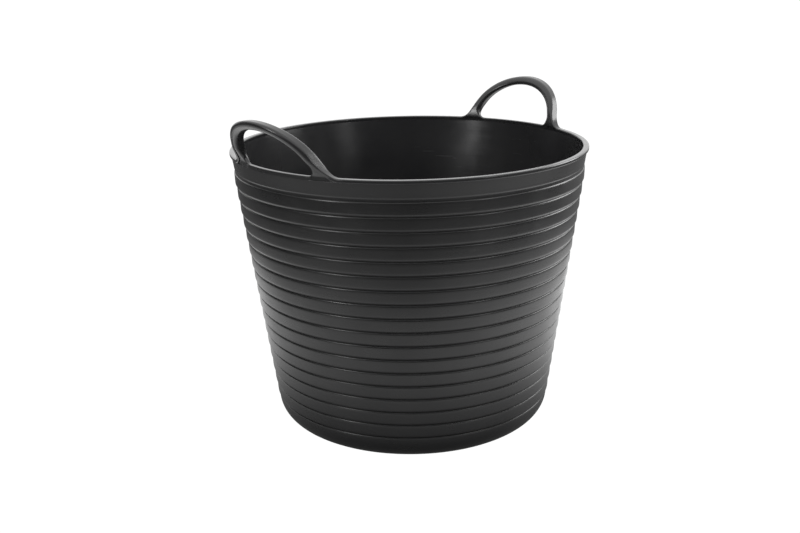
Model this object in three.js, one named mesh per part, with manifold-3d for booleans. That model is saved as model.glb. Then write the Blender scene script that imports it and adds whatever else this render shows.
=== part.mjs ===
// A florist's flexible tub: one tapered, round, open-topped moulding with stepped bands,
// a smooth collar, a rolled lip and two opposite loop handles that bend on their feet.
//
// Millimetres, +Z up. The origin is at the centre of the base, on the surface the tub stands on.
// The handles are at -X (left) and +X (right). Front is -Y and rear is +Y.

import * as THREE from 'three';
import { mergeVertices } from 'three/addons/utils/BufferGeometryUtils.js';
import Module from 'manifold-3d';

// Driving dimensions.
const RIM_RADIUS = 225; // outside of the lip
const RIM_HEIGHT = 355.5; // top of the lip
const WALL_LEAN = 0.1378; // radius gained for each millimetre of height
const WALL_THICKNESS = 4.8; // from the crest of a band to the smooth inside
const GAP = 0.3; // between neighbouring solids
const SEGMENTS = 48; // facets round the tub

// Bands on the wall. Each band is widest at its lower edge and steps in to the next one.
const BAND_COUNT = 17;
const BAND_PITCH = 17.57;
const TOP_GROOVE_HEIGHT = 330.4;
const BAND_FACE = 13; // height of a band's upright face
const STEP_DEPTH = 2.1;
const WALL_RADIUS_AT_BASE = 176.4; // the wall's crest line, carried down to the ground

// Foot and floor.
const CORNER_RADIUS = 28;
const CORNER_STEPS = 6;
const FOOT_RING_INNER = 146;
const FLOOR_RISE = 2;
const FLOOR_THICKNESS = 3.5;

// Collar and lip.
const LIP_WIDTH = 7.3;
const LIP_THICKNESS = 4.5;
const LIP_OVERHANG = 3;
const LIP_ROUND = 1.3;
const COVE_HEIGHT = 4;
const COVE_DEPTH = 2;

// Handles.
const ARCH_HALF_WIDTH = 65.8; // middle line of the bar, an ellipse in front view
const ARCH_HEIGHT = 48.2;
const ARCH_SPRING = 5.8; // height of the ellipse's centre above the lip
const ARCH_LEAN = 0.44; // how far the loop leans out for each millimetre of height
const BAR_THICKNESS = 10.8;
const BAR_DEPTH = 16.4;
const BAR_EDGE_ROUND = 4;
const BAR_EDGE_STEPS = 3;
const ARCH_STEPS = 20;
const HINGE_RISE = 15; // bending axis above the lip
const LEG_END_FACETS = 20;
const FOOT_FLARE = 16; // how far a foot spreads along the lip, away from the loop
const FOOT_FILLET = 5; // and into the loop
const FOOT_DEPTH = 11;
const FOOT_CURVE_STEPS = 5;
const FOOT_CURVE_SAG = 2;
const PLAIN_RIM_HALF_WIDTH = 54; // the lip has no overhang inside a loop

const wasm = await Module();
wasm.setup();

const wallRadius = (height) => WALL_RADIUS_AT_BASE + WALL_LEAN * height;
const lipMiddle = RIM_RADIUS - LIP_WIDTH / 2;
const grooveHeight = (band) => TOP_GROOVE_HEIGHT - band * BAND_PITCH;
const lastGrooveHeight = grooveHeight(BAND_COUNT);

function blackPolyethylene() {
  return new THREE.MeshStandardMaterial({ color: 0x1b1b1c, roughness: 0.45, metalness: 0 });
}

function named(name, geometry) {
  const mesh = new THREE.Mesh(geometry, blackPolyethylene());
  mesh.name = name;
  return mesh;
}

// Turns a profile of [radius, height] points round the Z axis.
function turned(profile) {
  const points = profile.map(([radius, height]) => new THREE.Vector2(radius, height));
  return new THREE.LatheGeometry(points, SEGMENTS).rotateX(Math.PI / 2);
}

// The same, for a profile that doesn't reach the axis.
function turnedRing(profile) {
  return turned([...profile, profile[0]]);
}

function toSolid(geometry) {
  const plain = geometry.clone();
  plain.deleteAttribute('normal');
  plain.deleteAttribute('uv');
  const merged = mergeVertices(plain, 1e-4);
  const mesh = new wasm.Mesh({
    numProp: 3,
    vertProperties: merged.attributes.position.array,
    triVerts: merged.index.array,
  });
  return new wasm.Manifold(mesh);
}

function toGeometry(solid) {
  const mesh = solid.getMesh();
  const geometry = new THREE.BufferGeometry();
  geometry.setAttribute('position', new THREE.BufferAttribute(mesh.vertProperties, 3));
  geometry.setIndex(new THREE.BufferAttribute(mesh.triVerts, 1));
  return geometry;
}

function floorPanel() {
  const edge = FOOT_RING_INNER - GAP;
  const top = FLOOR_RISE + FLOOR_THICKNESS;
  return turned([[0, FLOOR_RISE], [edge, FLOOR_RISE], [edge, top], [0, top]]);
}

// Points of a quarter circle, from straight down to straight out.
function cornerArc(centreRadius, centreHeight, radius) {
  const points = [];
  for (let step = 0; step <= CORNER_STEPS; step += 1) {
    const angle = (step / CORNER_STEPS) * (Math.PI / 2);
    points.push([centreRadius + radius * Math.sin(angle), centreHeight - radius * Math.cos(angle)]);
  }
  return points;
}

function footRing() {
  const top = lastGrooveHeight - GAP;
  const floorTop = FLOOR_RISE + FLOOR_THICKNESS;
  const cornerOutside = wallRadius(CORNER_RADIUS);
  const outerArc = cornerArc(cornerOutside - CORNER_RADIUS, CORNER_RADIUS, CORNER_RADIUS);
  const insideRadius = CORNER_RADIUS - floorTop;
  const innerArc = cornerArc(cornerOutside - CORNER_RADIUS, CORNER_RADIUS, insideRadius);
  return turnedRing([
    [FOOT_RING_INNER, 0],
    ...outerArc,
    [wallRadius(top) - STEP_DEPTH, top],
    [wallRadius(top) - WALL_THICKNESS, top],
    ...innerArc.reverse(),
    [FOOT_RING_INNER, floorTop],
  ]);
}

function ribbedWall() {
  const top = TOP_GROOVE_HEIGHT - GAP;
  const outside = [];
  for (let band = BAND_COUNT - 1; band >= 0; band -= 1) {
    const groove = grooveHeight(band + 1);
    const crest = grooveHeight(band) - BAND_FACE;
    outside.push([wallRadius(groove) - STEP_DEPTH, groove]);
    outside.push([wallRadius(crest), crest]);
  }
  outside.push([wallRadius(top) - STEP_DEPTH, top]);
  return turnedRing([
    ...outside,
    [wallRadius(top) - WALL_THICKNESS, top],
    [wallRadius(lastGrooveHeight) - WALL_THICKNESS, lastGrooveHeight],
  ]);
}

function rimCollar() {
  const top = RIM_HEIGHT - LIP_THICKNESS - GAP;
  const face = RIM_RADIUS - LIP_OVERHANG;
  const inside = RIM_RADIUS - LIP_WIDTH;
  const coveTop = TOP_GROOVE_HEIGHT + COVE_HEIGHT;
  return turnedRing([
    [face - COVE_DEPTH, TOP_GROOVE_HEIGHT],
    [face - COVE_DEPTH, coveTop],
    [face, coveTop],
    [face, top],
    [inside, top],
    [inside, TOP_GROOVE_HEIGHT],
  ]);
}

// The lip's ring. Inside each loop its overhang is cut away, and the rim is a plain edge.
function rimLip() {
  const bottom = RIM_HEIGHT - LIP_THICKNESS;
  const inside = RIM_RADIUS - LIP_WIDTH;
  const plain = RIM_RADIUS - LIP_OVERHANG;
  const beyond = RIM_RADIUS + LIP_OVERHANG;
  const ring = turnedRing([
    [inside, bottom],
    [RIM_RADIUS - LIP_ROUND, bottom],
    [RIM_RADIUS, bottom + LIP_ROUND],
    [RIM_RADIUS, RIM_HEIGHT - LIP_ROUND],
    [RIM_RADIUS - LIP_ROUND, RIM_HEIGHT],
    [inside + LIP_ROUND, RIM_HEIGHT],
    [inside, RIM_HEIGHT - LIP_ROUND],
  ]);
  const overhang = turnedRing([
    [plain, bottom - LIP_THICKNESS],
    [beyond, bottom - LIP_THICKNESS],
    [beyond, RIM_HEIGHT + LIP_THICKNESS],
    [plain, RIM_HEIGHT + LIP_THICKNESS],
  ]);
  const insideLoops = new THREE.BoxGeometry(3 * RIM_RADIUS, 2 * PLAIN_RIM_HALF_WIDTH, RIM_HEIGHT);
  insideLoops.translate(0, 0, RIM_HEIGHT);
  const cut = toSolid(overhang).intersect(toSolid(insideLoops));
  return toGeometry(toSolid(ring).subtract(cut));
}

// Lays an outline drawn in (along the lip, above the lip) into the part: +Y and +Z.
// It is extruded evenly to both sides of the YZ plane.
function uprightPlate(outline, depth, edgeRound) {
  const geometry = new THREE.ExtrudeGeometry(new THREE.Shape(outline), {
    depth: depth - 2 * edgeRound,
    bevelEnabled: edgeRound > 0,
    bevelThickness: edgeRound,
    bevelSize: edgeRound,
    bevelOffset: -edgeRound,
    bevelSegments: BAR_EDGE_STEPS,
  });
  geometry.translate(0, 0, edgeRound - depth / 2);
  const along = new THREE.Vector3(0, 1, 0);
  const above = new THREE.Vector3(0, 0, 1);
  const outward = new THREE.Vector3(1, 0, 0);
  return geometry.applyMatrix4(new THREE.Matrix4().makeBasis(along, above, outward));
}

// Moves each point of a geometry outward by a function of its place along and above the lip.
function shiftOutward(geometry, offset) {
  const position = geometry.attributes.position;
  for (let index = 0; index < position.count; index += 1) {
    const shift = offset(position.getY(index), position.getZ(index));
    position.setX(index, position.getX(index) + shift);
  }
  return geometry;
}

// An ellipse round the middle line of the loop, offset to one side of it, from its +Y end at
// the bending axis over the top to its -Y end.
function archCurve(offset) {
  const halfWidth = ARCH_HALF_WIDTH + offset;
  const height = ARCH_HEIGHT + offset;
  const start = Math.asin((HINGE_RISE - ARCH_SPRING) / height);
  const points = [];
  for (let step = 0; step <= ARCH_STEPS; step += 1) {
    const angle = start + (step / ARCH_STEPS) * (Math.PI - 2 * start);
    const along = halfWidth * Math.cos(angle);
    points.push(new THREE.Vector2(along, ARCH_SPRING + height * Math.sin(angle)));
  }
  return points;
}

const circleAt = (along) => Math.sqrt(lipMiddle ** 2 - along ** 2);
const outerLeg = archCurve(BAR_THICKNESS / 2)[0].x;
const innerLeg = archCurve(-BAR_THICKNESS / 2)[0].x;
const legMiddle = (outerLeg + innerLeg) / 2;
const hingeRadius = circleAt(legMiddle) + ARCH_LEAN * HINGE_RISE;

// The loop: its legs stand on the bending axis, and its arch bows out with the rim and leans
// outward. A round end on each leg lets it turn clear of the foot below.
function handleLoop() {
  const outline = [...archCurve(BAR_THICKNESS / 2), ...archCurve(-BAR_THICKNESS / 2).reverse()];
  const plate = uprightPlate(outline, BAR_DEPTH, BAR_EDGE_ROUND);
  const bowed = shiftOutward(plate, (along, above) => {
    const bow = circleAt(Math.min(Math.abs(along), innerLeg)) - circleAt(innerLeg);
    return hingeRadius + bow + ARCH_LEAN * (above - HINGE_RISE);
  });
  let loop = toSolid(bowed);
  for (const side of [-1, 1]) {
    const radius = BAR_DEPTH / 2;
    const width = outerLeg - innerLeg - BAR_EDGE_ROUND / 2;
    const legEnd = new THREE.CylinderGeometry(radius, radius, width, LEG_END_FACETS);
    legEnd.translate(hingeRadius, side * legMiddle, HINGE_RISE);
    loop = loop.add(toSolid(legEnd));
  }
  return toGeometry(loop).translate(0, 0, RIM_HEIGHT);
}

// A flared foot on the lip, on the +Y side (1) or the -Y side (-1) of a handle.
function handleFoot(side) {
  const top = HINGE_RISE - BAR_DEPTH / 2 - GAP;
  const outline = new THREE.Shape();
  outline.moveTo(side * (innerLeg - FOOT_FILLET), GAP);
  outline.lineTo(side * innerLeg, top);
  outline.lineTo(side * outerLeg, top);
  outline.quadraticCurveTo(
    side * (outerLeg + FOOT_CURVE_SAG),
    GAP + FOOT_CURVE_SAG,
    side * (outerLeg + FOOT_FLARE),
    GAP,
  );
  const foot = uprightPlate(outline.getPoints(FOOT_CURVE_STEPS), FOOT_DEPTH, 0);
  const leaning = shiftOutward(foot, (along, above) => circleAt(along) + ARCH_LEAN * above);
  return leaning.translate(0, 0, RIM_HEIGHT);
}

function handle(name, turn) {
  const group = new THREE.Group();
  group.add(named(`${name}_handle`, handleLoop()));
  group.add(named(`${name}_handle_front_foot`, handleFoot(turn === 0 ? -1 : 1)));
  group.add(named(`${name}_handle_rear_foot`, handleFoot(turn === 0 ? 1 : -1)));
  group.rotation.z = turn;
  return group;
}

const tub = new THREE.Group();
tub.add(named('floor_panel', floorPanel()));
tub.add(named('foot_ring', footRing()));
tub.add(named('ribbed_wall', ribbedWall()));
tub.add(named('rim_collar', rimCollar()));
tub.add(named('rim_lip', rimLip()));
tub.add(handle('right', 0));
tub.add(handle('left', Math.PI));

export default tub;
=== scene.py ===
"""Looks of a florist's flexible tub: one black polyethylene moulding with two loop handles.

Sizes are in millimetres in the tables below and become metres when a mesh is made.
The frame is the CAD's: origin at the centre of the base, +Z up, handles at -X and +X, front -Y.
"""
import math

import bmesh
import bpy
import numpy as np
from mathutils import Matrix, Vector


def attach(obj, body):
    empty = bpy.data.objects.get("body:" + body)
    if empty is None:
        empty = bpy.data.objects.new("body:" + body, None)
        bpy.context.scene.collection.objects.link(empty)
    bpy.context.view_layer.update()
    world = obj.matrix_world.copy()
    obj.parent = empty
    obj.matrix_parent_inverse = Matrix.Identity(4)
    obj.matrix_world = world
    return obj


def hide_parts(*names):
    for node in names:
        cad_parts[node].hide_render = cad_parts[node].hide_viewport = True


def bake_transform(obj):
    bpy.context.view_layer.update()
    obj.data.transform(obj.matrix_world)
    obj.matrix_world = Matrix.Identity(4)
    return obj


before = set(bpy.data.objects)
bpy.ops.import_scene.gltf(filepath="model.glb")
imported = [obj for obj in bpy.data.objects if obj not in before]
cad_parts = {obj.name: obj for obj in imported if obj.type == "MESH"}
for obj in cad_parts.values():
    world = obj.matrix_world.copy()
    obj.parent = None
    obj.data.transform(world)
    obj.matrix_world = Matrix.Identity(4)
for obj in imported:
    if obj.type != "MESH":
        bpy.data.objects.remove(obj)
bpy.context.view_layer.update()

MM = 0.001

# Wall and bands, as in the CAD.
RIM_HEIGHT = 355.5
LIP_THICKNESS = 4.5
LIP_HALF_WIDTH = 3.65
LIP_MIDDLE = 221.35
LIP_ROUND = 1.3
COLLAR_TOP = RIM_HEIGHT - LIP_THICKNESS
COLLAR_FACE = 223.0
INSIDE_RADIUS = LIP_MIDDLE - LIP_HALF_WIDTH
TOP_GROOVE = 330.4
BAND_COUNT = 17
BAND_PITCH = 17.57
GROOVE_DEPTH = 2.1
WALL_THICKNESS = 4.8
WALL_RADIUS_AT_BASE = 176.4  # the crest line, carried down to the ground
WALL_LEAN = 0.1378  # radius gained for each millimetre of height
THICKENING_START = 225.0  # height from which the wall thickens towards the lip
ROUND_STEPS = 256  # facets round the tub

# Base.
CORNER_RADIUS = 28.0
CORNER_CENTRE = 151.4
FOOT_BAND_DEPTH = 3.6  # the last band runs into the corner below this depth
CONTACT_INNER = 146.0
FLOOR_UNDERSIDE = 2.0
FLOOR_TOP = 5.5
FLOOR_RINGS = (22.0, 64.0, 106.0)  # shallow grooves in the top of the floor
UNDERSIDE_RINGS = (124.0, 88.0, 52.0)  # low ridges under it


def wall_radius(height):
    """Radius of the crest line at a height."""
    return WALL_RADIUS_AT_BASE + WALL_LEAN * height


def inner_radius(height):
    """Radius of the smooth inside. The wall thickens a little as it comes up to the lip."""
    rise = max(0.0, (height - THICKENING_START) / (COLLAR_TOP - THICKENING_START))
    at_lip = wall_radius(COLLAR_TOP) - WALL_THICKNESS - INSIDE_RADIUS
    return wall_radius(height) - WALL_THICKNESS - at_lip * rise ** 2


def smooth(low, high, value):
    """0 below low, 1 above high, and a soft step between them."""
    t = np.clip((value - low) / (high - low), 0, 1)
    return t * t * (3 - 2 * t)


# ---------------------------------------------------------------- meshes

def finish_mesh(name, bm, sharp_angle=38):
    """A shaded object from a bmesh whose coordinates are in millimetres."""
    bmesh.ops.scale(bm, vec=(MM, MM, MM), verts=bm.verts)
    bmesh.ops.recalc_face_normals(bm, faces=bm.faces)
    mesh = bpy.data.meshes.new(name)
    bm.to_mesh(mesh)
    bm.free()
    mesh.shade_smooth()
    mesh.set_sharp_from_angle(angle=math.radians(sharp_angle))
    obj = bpy.data.objects.new(name, mesh)
    bpy.context.scene.collection.objects.link(obj)
    return obj


def mesh_from_arrays(points, faces):
    """A bmesh from plain arrays."""
    mesh = bpy.data.meshes.new("work")
    mesh.from_pydata(points.tolist(), [], faces)
    bm = bmesh.new()
    bm.from_mesh(mesh)
    bpy.data.meshes.remove(mesh)
    return bm


def turned(profile, start=0.0, sweep=2 * math.pi):
    """Turns a closed [radius, height] outline about Z, all round or as an arc with flat ends."""
    outline = np.array(profile, float)
    count = len(outline)
    whole = sweep > 2 * math.pi - 1e-6
    steps = max(8, round(ROUND_STEPS * sweep / (2 * math.pi)))
    angles = start + np.arange(steps if whole else steps + 1) * (sweep / steps)
    rings = np.stack([
        np.cos(angles)[:, None] * outline[None, :, 0],
        np.sin(angles)[:, None] * outline[None, :, 0],
        np.broadcast_to(outline[None, :, 1], (len(angles), count)),
    ], axis=-1)
    faces = []
    for ring in range(steps):
        here = ring * count
        there = ((ring + 1) % len(angles)) * count
        for side in range(count):
            after = (side + 1) % count
            faces.append((here + side, there + side, there + after, here + after))
    if not whole:
        faces.append(tuple(range(count)))
        faces.append(tuple(range(len(angles) * count - 1, (len(angles) - 1) * count - 1, -1)))
    return mesh_from_arrays(rings.reshape(-1, 3), faces)


def arc(centre, radii, start, end, steps):
    """Points on an ellipse arc, angles in degrees from +radius towards +height."""
    angles = np.radians(np.linspace(start, end, steps + 1))
    return [
        (centre[0] + radii[0] * math.cos(a), centre[1] + radii[1] * math.sin(a)) for a in angles
    ]


# A band from its ledge down to the next groove: (outward from the wall radius at its ledge, down).
BAND_OUTLINE = [
    (-2.10, 0.00), (-1.89, 0.08), (-1.69, 0.30), (-1.52, 0.65), (-1.39, 1.10), (-1.31, 1.63),
    (-1.28, 2.20), (-1.36, 4.5), (-1.46, 7.5), (-1.58, 10.5), (-1.69, 12.8), (-1.75, 13.6),
    (-1.85, 14.2), (-2.04, 14.7), (-2.42, 15.2), (-3.10, 16.0), (-3.85, 16.8), (-4.35, 17.28),
    (-4.52, 17.48),
]


# The collar from the top groove up: (outward from the groove, up).
COLLAR_OUTLINE = [
    (0.0, 0.0), (-0.04, 0.8), (0.0, 3.2), (0.12, 3.8), (0.35, 4.2), (0.53, 4.5), (0.62, 4.9),
    (0.70, 5.5), (1.40, 10.0), (2.30, 15.5),
]

# The rounded inner edge of the ring that the tub stands on: (radius, height).
CONTACT_EDGE = [(150.0, 0.0), (148.4, 0.05), (147.2, 0.35), (146.3, 0.9), (CONTACT_INNER, 2.0)]


def band_points(band, depth_limit=math.inf):
    """Outline of one band, from the top down."""
    top = TOP_GROOVE - band * BAND_PITCH
    return [
        (wall_radius(top) + out, top - down) for out, down in BAND_OUTLINE if down < depth_limit
    ]


def inner_wall(top, bottom, step=6.0):
    """The smooth inside of the wall, from the bottom up."""
    heights = np.linspace(bottom, top, max(2, round((top - bottom) / step)))
    return [(inner_radius(z), z) for z in heights]


def ribbed_wall():
    """The wall with its stepped bands."""
    outline = []
    for band in range(BAND_COUNT):
        outline += band_points(band)
    bottom = TOP_GROOVE - BAND_COUNT * BAND_PITCH
    outline.append((wall_radius(bottom) - GROOVE_DEPTH, bottom))
    return turned(outline + inner_wall(TOP_GROOVE, bottom))


def foot_ring():
    """The rounded lower corner and the flat ring that the tub stands on."""
    top = TOP_GROOVE - BAND_COUNT * BAND_PITCH
    corner = (CORNER_CENTRE, CORNER_RADIUS)
    inside_width = wall_radius(CORNER_RADIUS) - WALL_THICKNESS - CORNER_CENTRE
    outline = band_points(BAND_COUNT, depth_limit=FOOT_BAND_DEPTH)
    outline += arc(corner, (CORNER_RADIUS, CORNER_RADIUS), 0, -90, 18)
    outline += CONTACT_EDGE + [(CONTACT_INNER, FLOOR_TOP)]
    outline += arc(corner, (inside_width, CORNER_RADIUS - FLOOR_TOP), -90, 0, 14)
    return turned(outline + inner_wall(top, CORNER_RADIUS + 1.5, 3.0))


def floor_panel():
    """The floor disc, with shallow mould rings on both sides and a gate nub under it."""
    top = [(0.0, FLOOR_TOP)]
    for ring in FLOOR_RINGS:
        top += [(ring - 1.6, FLOOR_TOP), (ring - 0.5, FLOOR_TOP - 0.35),
                (ring + 0.5, FLOOR_TOP - 0.35), (ring + 1.6, FLOOR_TOP)]
    top += [(CONTACT_INNER, FLOOR_TOP), (CONTACT_INNER, FLOOR_UNDERSIDE)]
    under = []
    for ring in UNDERSIDE_RINGS:
        under += [(ring + 2.0, FLOOR_UNDERSIDE), (ring + 1.1, FLOOR_UNDERSIDE - 0.8),
                  (ring - 1.1, FLOOR_UNDERSIDE - 0.8), (ring - 2.0, FLOOR_UNDERSIDE)]
    under += [(16.0, FLOOR_UNDERSIDE), (14.5, FLOOR_UNDERSIDE + 1.2), (5.0, FLOOR_UNDERSIDE + 1.2),
              (4.2, FLOOR_UNDERSIDE - 0.6), (0.0, FLOOR_UNDERSIDE - 0.7)]
    bm = turned(top + under)
    bmesh.ops.remove_doubles(bm, verts=bm.verts, dist=1e-5)
    poles = [face for face in bm.faces if face.calc_area() < 1e-9]
    bmesh.ops.delete(bm, geom=poles, context="FACES")
    loose = [edge for edge in bm.edges if not edge.link_faces]
    bmesh.ops.delete(bm, geom=loose, context="EDGES")
    return bm


def rim_collar():
    """The smooth collar, which leans out to the lip."""
    foot = wall_radius(TOP_GROOVE) - GROOVE_DEPTH
    outline = [(foot + out, TOP_GROOVE + up) for out, up in COLLAR_OUTLINE]
    outline += [(COLLAR_FACE, COLLAR_TOP)]
    return turned(outline + inner_wall(COLLAR_TOP, TOP_GROOVE)[::-1])


# ---------------------------------------------------------------- handles

# A handle is shaped in a flat frame: s along the rim, h above the lip's top, n outward.
HANDLE_END = 96.0  # s where the handle moulding meets the plain lip
ARCH_HALF_WIDTH = 65.8  # middle line of the bar, an ellipse
ARCH_HEIGHT = 48.2
ARCH_SPRING = 5.8  # h of the ellipse's centre
BAR_HALF_TOP = 5.4
BAR_HALF_LEG = 5.85
BAR_HALF_DEPTH = 8.2
FLARE_TOP = 20.0  # h where a foot's flare runs into the loop
FLARE_END = 91.0  # s where it runs into the lip
OPENING_HALF_WIDTH = 50.5
OPENING_FILLET = 11.0
RIDGE_HEIGHT = 4.52  # the lip's own face, which becomes the ridge along the loop
LEAN = 0.434  # how far the loop leans out for each millimetre of h
LEAN_START = 2.5
FOOT_TURN_HEIGHT = 14.0  # above this h, the bar's depth is square to the loop and not to the lip
GRID_STEPS = (0.7, 0.5, 0.5)  # grid of the handle's surface in s, h and n
GRID_HEIGHTS = (-6.2, 61.5)
GRID_HALF_DEPTH = 10.0
GRID_MARGIN = 3.0  # beyond each end of the moulding


def arch_line(side, start_height):
    """An edge of the bar from height start_height on +s over the top to -s. side 1 is outside."""
    angles = np.linspace(0, math.pi, 121)
    half = BAR_HALF_LEG + (BAR_HALF_TOP - BAR_HALF_LEG) * np.sin(angles)
    normal = np.stack([np.cos(angles) / ARCH_HALF_WIDTH, np.sin(angles) / ARCH_HEIGHT], axis=1)
    normal /= np.linalg.norm(normal, axis=1)[:, None]
    line = np.stack([ARCH_HALF_WIDTH * np.cos(angles),
                     ARCH_SPRING + ARCH_HEIGHT * np.sin(angles)], axis=1)
    line = line + normal * (side * half)[:, None]
    return line[line[:, 1] > start_height]


def curve_into(line, start):
    """A curve that leaves the lip level at s = start and runs smoothly into a line."""
    joint, step = line[0], line[1] - line[0]
    corner = np.array([joint[0] - step[0] * joint[1] / step[1], 0.0])
    t = np.linspace(0, 1, 19)[:-1, None]
    return (1 - t) ** 2 * np.array([start, 0.0]) + 2 * t * (1 - t) * corner + t ** 2 * joint


def top_line():
    """Top of the lip, up the flare, over the loop, and down the other side."""
    over = arch_line(1, FLARE_TOP)
    right = np.vstack([[(140.0, 0.0)], curve_into(over, FLARE_END)])
    left = right[::-1] * [-1, 1]
    return np.vstack([right, over, left])


def opening_line():
    """The loop's opening, closed along the plain rim."""
    inside = arch_line(-1, OPENING_FILLET)
    fillet = curve_into(inside, OPENING_HALF_WIDTH)
    return np.vstack([fillet, inside, fillet[::-1] * [-1, 1]])


def signed_distance(points, line, closed):
    """Distance from each point to a line, positive on the side of the polygon's inside."""
    a = line
    b = np.roll(line, -1, axis=0)
    if not closed:
        a, b = a[:-1], b[:-1]
    nearest = np.full(len(points), 1e9)
    inside = np.zeros(len(points), bool)
    for p, q in zip(a, b):
        along = q - p
        t = np.clip(((points - p) @ along) / max(along @ along, 1e-12), 0, 1)
        nearest = np.minimum(nearest, np.linalg.norm(points - p - t[:, None] * along, axis=1))
    ring = line if closed else np.vstack([line, [(line[-1][0], -60.0)], [(line[0][0], -60.0)]])
    for p, q in zip(ring, np.roll(ring, -1, axis=0)):
        crosses = (p[1] > points[:, 1]) != (q[1] > points[:, 1])
        if crosses.any():
            at = p[0] + (points[:, 1] - p[1]) * (q[0] - p[0]) / ((q[1] - p[1]) or 1e-12)
            inside ^= crosses & (points[:, 0] < at)
    return np.where(inside, nearest, -nearest)


def round_both(a, b, radius):
    """Where both fields are positive, with the corner between them rounded."""
    corner = np.hypot(np.maximum(radius - a, 0), np.maximum(radius - b, 0))
    return np.maximum(radius, np.minimum(a, b)) - corner


def handle_field(s, h, n, top, opening):
    """Positive inside the handle moulding. top and opening are the in-plane distances.

    A raised band follows the top edge on the outer side, and steps in to the web below it.
    """
    loop = smooth(2, 12, h)
    beside = smooth(OPENING_HALF_WIDTH - 2, OPENING_HALF_WIDTH + 9, np.abs(s))
    share = beside + (1 - beside) * loop
    swell = smooth(-1, FLARE_TOP + 1, h)
    ridge = LIP_HALF_WIDTH + (BAR_HALF_DEPTH - LIP_HALF_WIDTH) * swell
    step = np.interp(h, [-4.5, 0, 5, 10, 18, 34, 60], [3.0, 2.9, 2.6, 2.1, 1.3, 0.6, 0.4])
    face = COLLAR_FACE - LIP_MIDDLE
    web = face + (ridge - step - face) * share
    inner = LIP_HALF_WIDTH + (BAR_HALF_DEPTH - LIP_HALF_WIDTH) * smooth(-4.5, FLARE_TOP, h) * share
    band = np.interp(h, [0, 12, 30, 60], [RIDGE_HEIGHT, 5.4, 7.0, 7.2])
    under = np.interp(h, [0, 15, 35], [1.3, 0.8, 0.3])
    outer = np.maximum(web - n, round_both(ridge - n, band - top, under))
    rounded = smooth(0, 30, h)
    edge_top = LIP_ROUND + 3.5 * rounded
    edge_open = 0.9 + 4.5 * smooth(0, 14, h)
    back = n + inner
    return np.minimum(
        np.minimum(round_both(outer, top, edge_top), round_both(back, top, edge_top)),
        np.minimum(round_both(outer, opening, edge_open), round_both(back, opening, edge_open)),
    )


def surface_net(field, axes):
    """Points and quads of the zero surface of a field sampled on a grid."""
    shape = np.array(field.shape) - 1
    total = np.zeros((*shape, 3))
    count = np.zeros(shape, int)
    crossings = []
    for axis in range(3):
        low = np.take(field, range(field.shape[axis] - 1), axis)
        high = np.take(field, range(1, field.shape[axis]), axis)
        cross = (low > 0) != (high > 0)
        index = np.argwhere(cross)
        part = low[cross] / (low[cross] - high[cross])
        at = index.astype(float)
        at[:, axis] += part
        others = [k for k in range(3) if k != axis]
        for first in (0, -1):
            for second in (0, -1):
                cell = index.copy()
                cell[:, others[0]] += first
                cell[:, others[1]] += second
                good = ((cell >= 0) & (cell < shape)).all(axis=1)
                where = tuple(cell[good].T)
                np.add.at(total, where, at[good])
                np.add.at(count, where, 1)
        crossings.append((axis, others, index, low[cross] > 0))
    active = count > 0
    number = np.full(shape, -1)
    number[active] = np.arange(active.sum())
    points = total[active] / count[active][:, None]
    points = np.stack(
        [np.interp(points[:, k], np.arange(len(axes[k])), axes[k]) for k in range(3)], 1)
    quads = []
    for axis, others, index, outward in crossings:
        inside = ((index[:, others] > 0) & (index[:, others] < shape[others])).all(axis=1)
        corners = []
        for first, second in ((0, 0), (-1, 0), (-1, -1), (0, -1)):
            cell = index[inside].copy()
            cell[:, others[0]] += first
            cell[:, others[1]] += second
            corners.append(number[tuple(cell.T)])
        quad = np.stack(corners, 1)
        flip = outward[inside] if axis != 1 else ~outward[inside]
        quad[flip] = quad[flip][:, ::-1]
        quads.append(quad)
    return points, np.vstack(quads)


def sampled(grid, axes, at):
    """A grid's values at points between its lines."""
    cells, parts = [], []
    for k in range(2):
        place = (at[:, k] - axes[k][0]) / (axes[k][1] - axes[k][0])
        place = np.clip(place, 0, len(axes[k]) - 1.001)
        cells.append(place.astype(int))
        parts.append(place - cells[k])
    (i, j), (u, v) = cells, parts
    low = grid[i, j] * (1 - u) + grid[i + 1, j] * u
    high = grid[i, j + 1] * (1 - u) + grid[i + 1, j + 1] * u
    return low * (1 - v) + high * v


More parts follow.
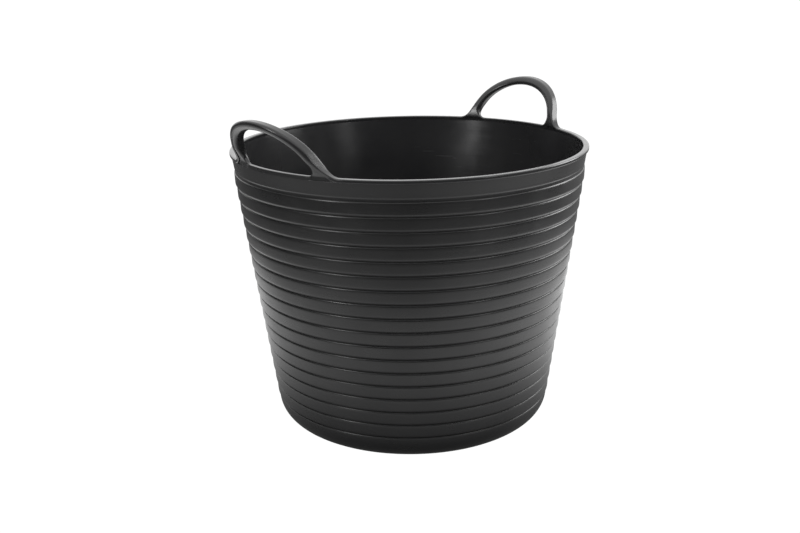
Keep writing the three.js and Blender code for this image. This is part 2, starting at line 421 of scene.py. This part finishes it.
def handle_surface():
    """The handle moulding's closed surface in (s, h, n), cut flat at its ends and its bottom."""
    axes = [np.arange(low, high + size, size) for low, high, size in (
        (-HANDLE_END - GRID_MARGIN, HANDLE_END + GRID_MARGIN, GRID_STEPS[0]),
        (*GRID_HEIGHTS, GRID_STEPS[1]),
        (-GRID_HALF_DEPTH, GRID_HALF_DEPTH, GRID_STEPS[2]),
    )]
    s, h = np.meshgrid(axes[0], axes[1], indexing="ij")
    flat = np.stack([s.ravel(), h.ravel()], 1)
    top = signed_distance(flat, top_line(), closed=False).reshape(s.shape)
    opening = -signed_distance(flat, opening_line(), closed=True).reshape(s.shape)
    field = handle_field(
        s[..., None], h[..., None], axes[2][None, None, :], top[..., None], opening[..., None])
    for border in (field[:1], field[-1:], field[:, :1], field[:, -1:]):
        border[...] = -1.0  # closes the surface at the grid's ends, so each cut is a whole loop
    points, quads = surface_net(field, axes)

    def value(at):
        return handle_field(*at.T, sampled(top, axes, at), sampled(opening, axes, at))

    nudge, least_slope, longest_move = 0.05, 0.3, 0.15
    for _ in range(2):  # brings the points onto the exact surface
        here = value(points)
        slope = np.stack(
            [(value(points + nudge * axis) - here) / nudge for axis in np.eye(3)], 1)
        steepness = np.maximum((slope ** 2).sum(1), least_slope)
        move = -here[:, None] * slope / steepness[:, None]
        points = points + np.clip(move, -longest_move, longest_move)
    bm = mesh_from_arrays(points, quads.tolist())
    for place, outward in (((0, -LIP_THICKNESS, 0), (0, -1, 0)),
                           ((HANDLE_END, 0, 0), (1, 0, 0)),
                           ((-HANDLE_END, 0, 0), (-1, 0, 0))):
        geometry = bm.verts[:] + bm.edges[:] + bm.faces[:]
        cut = bmesh.ops.bisect_plane(
            bm, geom=geometry, dist=1e-5, plane_co=place, plane_no=outward, clear_outer=True)
        rim = [e for e in cut["geom_cut"] if isinstance(e, bmesh.types.BMEdge)]
        bmesh.ops.triangle_fill(bm, edges=rim, use_beauty=True)
    bm.verts.index_update()
    points = np.array([v.co for v in bm.verts])
    faces = [tuple(v.index for v in face.verts) for face in bm.faces]
    bm.free()
    return points, faces


def lean_out(h):
    """How far the loop has leaned outward at height h."""
    above = np.maximum(h, 0)
    return LEAN * (above - LEAN_START * (1 - np.exp(-above / LEAN_START)))


def handle_moulding(surface, turn):
    """The handle's surface laid on the rim at angle turn. Its foot follows the lip's curve."""
    flat, faces = surface
    s, h, n = flat.T
    around = s / LIP_MIDDLE
    facing = around * (1 - smooth(0, FOOT_TURN_HEIGHT, h))
    x = LIP_MIDDLE * np.cos(around) + lean_out(h) + n * np.cos(facing)
    y = LIP_MIDDLE * np.sin(around) + n * np.sin(facing)
    points = np.stack([x * math.cos(turn) - y * math.sin(turn),
                       x * math.sin(turn) + y * math.cos(turn), RIM_HEIGHT + h], 1)
    return mesh_from_arrays(points, faces)


def lip_arc(centre_angle):
    """The lip between the two handles, on one side of the tub."""
    half = math.pi / 2 - HANDLE_END / LIP_MIDDLE
    outer = LIP_MIDDLE + LIP_HALF_WIDTH
    r = LIP_ROUND
    outline = [(INSIDE_RADIUS, COLLAR_TOP)]
    outline += arc((outer - r, COLLAR_TOP + r), (r, r), -90, 0, 5)
    outline += arc((outer - r, RIM_HEIGHT - r), (r, r), 0, 90, 5)
    outline += arc((INSIDE_RADIUS + r, RIM_HEIGHT - r), (r, r), 90, 180, 5)
    return turned(outline, centre_angle - half, 2 * half)


# ---------------------------------------------------------------- material

def node(tree, kind, **inputs):
    """A shader node with some of its sockets set or linked.

    A socket is given by its name, with _ for a space, or by its number, as i0 or i1.
    """
    made = tree.nodes.new(kind)
    for key, value in inputs.items():
        numbered = key[0] == "i" and key[1:].isdigit()
        socket = made.inputs[int(key[1:]) if numbered else key.replace("_", " ")]
        if isinstance(value, bpy.types.NodeSocket):
            tree.links.new(value, socket)
        else:
            socket.default_value = value
    return made


def math_node(tree, operation, first, second):
    """The output of a Math node with two inputs, each a socket or a number."""
    made = tree.nodes.new("ShaderNodeMath")
    made.operation = operation
    for index, value in enumerate((first, second)):
        if isinstance(value, bpy.types.NodeSocket):
            tree.links.new(value, made.inputs[index])
        else:
            made.inputs[index].default_value = value
    return made.outputs[0]


def scaled(tree, place, scale):
    """A place stretched along each axis."""
    made = tree.nodes.new("ShaderNodeMapping")
    tree.links.new(place, made.inputs["Vector"])
    made.inputs["Scale"].default_value = scale
    return made.outputs["Vector"]


def noise(tree, vector, scale, detail=3.0, roughness=0.55):
    """The value of a Noise node."""
    made = node(tree, "ShaderNodeTexNoise", Vector=vector, Scale=scale, Detail=detail,
                Roughness=roughness)
    return made.outputs[0]


def ramp(tree, value, low, high, start, end):
    """Maps low..high to start..end, clamped."""
    made = tree.nodes.new("ShaderNodeMapRange")
    tree.links.new(value, made.inputs["Value"])
    for name, number in (("From Min", low), ("From Max", high), ("To Min", start), ("To Max", end)):
        made.inputs[name].default_value = number
    return made.outputs["Result"]


# Linear colours of the plastic: clean, and rubbed or dusty.
CLEAN_BLACK = (0.0062, 0.0062, 0.0066)
DUSTY_BLACK = (0.016, 0.0158, 0.0155)


def black_polyethylene(name, roughness, streaks, grain, scuffs, painted_lightness=1.0):
    """Satin black polyethylene: moulded grain, marks running round the tub, and light scuffs."""
    material = bpy.data.materials.new(name)
    material.use_nodes = True
    tree = material.node_tree
    shader = tree.nodes["Principled BSDF"]
    place = tree.nodes.new("ShaderNodeTexCoord").outputs["Object"]
    round_marks = noise(tree, scaled(tree, place, (7.0, 7.0, 620.0)), 1.0, 4.0, 0.6)
    patches = noise(tree, place, 26.0, 3.0)
    fine = noise(tree, place, 1500.0, 2.0)
    cloudy = noise(tree, place, 9.0, 2.0)
    scratch_field = noise(tree, scaled(tree, place, (14.0, 14.0, 900.0)), 1.0, 2.0)
    scratches = math_node(tree, "MULTIPLY", ramp(tree, scratch_field, 0.68, 0.74, 0.0, 1.0),
                          ramp(tree, patches, 0.5, 0.66, 0.0, 1.0))
    rough = math_node(tree, "ADD",
                      ramp(tree, patches, 0.3, 0.7, roughness - 0.035, roughness + 0.045),
                      ramp(tree, round_marks, 0.3, 0.7, -0.5 * streaks, 0.5 * streaks))
    rough = math_node(tree, "ADD", rough, math_node(tree, "MULTIPLY", scratches, 0.12))
    tree.links.new(rough, shader.inputs["Roughness"])
    colour = tree.nodes.new("ShaderNodeMix")
    colour.data_type = "RGBA"
    tree.links.new(math_node(tree, "ADD", ramp(tree, cloudy, 0.3, 0.7, 0.0, 0.35),
                             math_node(tree, "MULTIPLY", scratches, scuffs)), colour.inputs[0])
    # The last argument scales both blacks: above 1 it paints this copy of the plastic lighter, as
    # painted light.
    for socket, shade in ((6, CLEAN_BLACK), (7, DUSTY_BLACK)):
        colour.inputs[socket].default_value = (*(painted_lightness * part for part in shade), 1)
    tree.links.new(colour.outputs[2], shader.inputs["Base Color"])
    shader.inputs["IOR"].default_value = 1.5
    height = math_node(tree, "ADD", math_node(tree, "MULTIPLY", round_marks, 0.22),
                       math_node(tree, "MULTIPLY", fine, grain))
    height = math_node(tree, "SUBTRACT", height, math_node(tree, "MULTIPLY", scratches, 0.8))
    bump = node(tree, "ShaderNodeBump", Strength=0.35, Distance=0.0001, Height=height)
    tree.links.new(bump.outputs[0], shader.inputs["Normal"])
    return material


def line_inside(obj, material):
    """Gives the faces that look at the tub's axis, or up from its floor, a second material: a copy
    of the plastic whose black is painted lighter, as painted light.
    """
    mesh = obj.data
    mesh.materials.append(material)
    count = len(mesh.polygons)
    normals, centres = np.empty(count * 3, np.float32), np.empty(count * 3, np.float32)
    mesh.polygons.foreach_get("normal", normals)
    mesh.polygons.foreach_get("center", centres)
    normals, centres = normals.reshape(-1, 3), centres.reshape(-1, 3)
    radius = np.hypot(centres[:, 0], centres[:, 1])
    inward = -(normals[:, :2] * centres[:, :2]).sum(1) / np.maximum(radius, 1e-6)
    height = centres[:, 2] / MM
    near_inside = radius / MM < wall_radius(height) - WALL_THICKNESS + 1.0
    above_floor = height > FLOOR_TOP - 0.5
    faces_in = (inward > 0.2) | (normals[:, 2] > 0.5)
    inner = near_inside & above_floor & faces_in
    mesh.polygons.foreach_set("material_index", inner.astype(np.int32))
    mesh.update()


def place_piece(obj, material, replaced, body="tub"):
    """Gives a piece its material slot and its body, and hides the CAD nodes that it stands for.

    A piece given no body is left unattached.
    """
    obj.data.materials.append(material)
    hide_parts(*replaced)
    if body:
        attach(obj, body)
    return obj


# Four copies of the one plastic. The inside, rim and handle copies have their black painted lighter
# than the outer wall (painted light), besides their own roughness.
wall_material = black_polyethylene("wall polyethylene", 0.30, 0.04, 0.5, 0.8)
inside_material = black_polyethylene("inside polyethylene", 0.21, 0.05, 0.25, 0.8, painted_lightness=2.3)
rim_material = black_polyethylene("rim polyethylene", 0.17, 0.04, 0.3, 1.0, painted_lightness=2.0)
handle_material = black_polyethylene("handle polyethylene", 0.27, 0.04, 0.12, 1.0, painted_lightness=2.0)

for name, shape, replaced in (
    ("ribbed_wall_shell", ribbed_wall, "ribbed_wall"),
    ("foot_ring_shell", foot_ring, "foot_ring"),
    ("floor_disc", floor_panel, "floor_panel"),
    ("rim_collar_shell", rim_collar, "rim_collar"),
):
    piece = place_piece(finish_mesh(name, shape()), wall_material, [replaced])
    line_inside(piece, inside_material)
for name, centre_angle in (("rim_lip_front", -math.pi / 2), ("rim_lip_rear", math.pi / 2)):
    place_piece(finish_mesh(name, lip_arc(centre_angle)), rim_material, ["rim_lip"])

surface = handle_surface()
for side, turn in (("right", 0.0), ("left", math.pi)):
    moulding = finish_mesh(f"{side}_handle_moulding", handle_moulding(surface, turn))
    names = [f"{side}_handle", f"{side}_handle_front_foot", f"{side}_handle_rear_foot"]
    place_piece(moulding, handle_material, names, body=None)
    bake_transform(moulding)

# ---------------------------------------------------------------- studio

# From the camera's side of the studio to the tub's own axes.
STUDIO_TURN = Matrix.Rotation(math.radians(-46.6), 3, "Z")


def studio(x, y, z):
    """A point given from the camera's side: x to the right, y away, z up, in metres."""
    return STUDIO_TURN @ Vector((x, y, z))


def glow(name, strength):
    """A plain light-giving material, with its tree and its Emission node."""
    material = bpy.data.materials.new(name)
    material.use_nodes = True
    tree = material.node_tree
    tree.nodes.clear()
    out = tree.nodes.new("ShaderNodeOutputMaterial")
    light = node(tree, "ShaderNodeEmission", Color=(1, 1, 1, 1), Strength=strength)
    tree.links.new(light.outputs[0], out.inputs["Surface"])
    return material, tree, light


def card(name, corners, material, seen=False):
    """A flat sheet of the studio."""
    mesh = bpy.data.meshes.new(name)
    mesh.from_pydata([studio(*c) for c in corners], [], [tuple(range(len(corners)))])
    mesh.materials.append(material)
    obj = bpy.data.objects.new(name, mesh)
    bpy.context.scene.collection.objects.link(obj)
    obj.visible_camera = seen
    return obj


def soft_light(name, place, target, size, power):
    """A rectangular lamp that points at a target."""
    data = bpy.data.lights.new(name, "AREA")
    data.shape = "RECTANGLE"
    data.size, data.size_y = size
    data.energy = power
    obj = bpy.data.objects.new(name, data)
    bpy.context.scene.collection.objects.link(obj)
    obj.location = studio(*place)
    obj.rotation_euler = (studio(*target) - obj.location).to_track_quat("-Z", "Y").to_euler()


world = bpy.data.worlds.new("white studio")
bpy.context.scene.world = world
world.use_nodes = True
world.node_tree.nodes["Background"].inputs[0].default_value = (1, 1, 1, 1)
world.node_tree.nodes["Background"].inputs[1].default_value = 1.4

floor_white, _, _ = glow("floor white", 1.05)
floor = card("studio_floor", [(-40, -40, 0), (40, -40, 0), (40, 40, 0), (-40, 40, 0)],
             floor_white, seen=True)
floor.visible_glossy = False
floor.visible_diffuse = False

# The floor as the tub's sides mirror it, a glowing sheet hidden from the camera: pale round the
# tub, darker further away, and brighter to the left and right. Under the tub and close round its
# base it is dark: a painted shadow of the tub on the floor.
sweep, tree, light = glow("floor sweep", 1.0)
spot = tree.nodes.new("ShaderNodeNewGeometry").outputs["Position"]
flat = node(tree, "ShaderNodeVectorMath", i0=spot, i1=(1, 1, 0))
flat.operation = "MULTIPLY"
sideways = node(tree, "ShaderNodeVectorMath", i0=spot, i1=studio(1, 0, 0))
sideways.operation = "DOT_PRODUCT"
length = node(tree, "ShaderNodeVectorMath", i0=flat.outputs[0])
length.operation = "LENGTH"
distance = length.outputs["Value"]
# Dark under and close round the base: a painted shadow of the tub, as its lower bands mirror it.
painted_base_shadow = ramp(tree, distance, 0.17, 0.42, 0.12, 1.0)
far = ramp(tree, distance, 0.64, 0.96, 1.0, 0.12)
gain = math_node(tree, "MULTIPLY", ramp(tree, sideways.outputs["Value"], 0.05, 0.7, 1.0, 2.2),
                 ramp(tree, sideways.outputs["Value"], -0.6, -0.1, 1.4, 1.0))
strength = math_node(tree, "MULTIPLY", math_node(tree, "MULTIPLY", painted_base_shadow, far), gain)
tree.links.new(strength, light.inputs["Strength"])
card("floor_reflection",
     [(-6, -6, 0.0004), (6, -6, 0.0004), (6, 6, 0.0004), (-6, 6, 0.0004)], sweep)

# The dark parts of the studio, behind the camera and to its left and right.
dark, _, _ = glow("dark side", 0.1)
card("dark_side", [(-4, -2.4, 0.0), (4, -2.4, 0.0), (4, -2.4, 1.6), (-4, -2.4, 1.6)], dark)
card("dark_left", [(-2.4, 1.5, 0.0), (-2.4, -3, 0.0), (-2.4, -3, 1.6), (-2.4, 1.5, 1.6)], dark)
card("dark_right", [(2.4, -3, 0.0), (2.4, 0.5, 0.0), (2.4, 0.5, 1.0), (2.4, -3, 1.0)], dark)

soft_light("right_softbox", (1.55, 0.45, 0.75), (0, 0, 0.2), (0.9, 1.0), 17)
soft_light("front_left_lamp", (-1.48, -1.27, 0.77), (0, 0, 0.33), (0.22, 0.4), 8.0)
soft_light("front_right_lamp", (1.44, -1.32, 0.77), (0, 0, 0.33), (0.26, 0.4), 3.2)

# ---------------------------------------------------------------- camera

CAMERA_PLACE = (0.0, -1.2855, 0.5878)
PITCH, YAW, ROLL = 0.299, -0.0111, -0.0193

forward = Vector(
    (math.sin(YAW) * math.cos(PITCH), math.cos(YAW) * math.cos(PITCH), -math.sin(PITCH)))
level = Vector((math.cos(YAW), -math.sin(YAW), 0))
upward = level.cross(forward)
right = level * math.cos(ROLL) + upward * math.sin(ROLL)
up = -level * math.sin(ROLL) + upward * math.cos(ROLL)
camera_data = bpy.data.cameras.new("camera")
camera_data.lens = 46.05
camera_data.sensor_width = 36
camera_data.clip_start = 0.05
camera = bpy.data.objects.new("camera", camera_data)
bpy.context.scene.collection.objects.link(camera)
turn = STUDIO_TURN @ Matrix((right, up, -forward)).transposed()
camera.matrix_world = Matrix.Translation(studio(*CAMERA_PLACE)) @ turn.to_4x4()
bpy.context.scene.camera = camera
bpy.context.scene.view_settings.view_transform = "Standard"
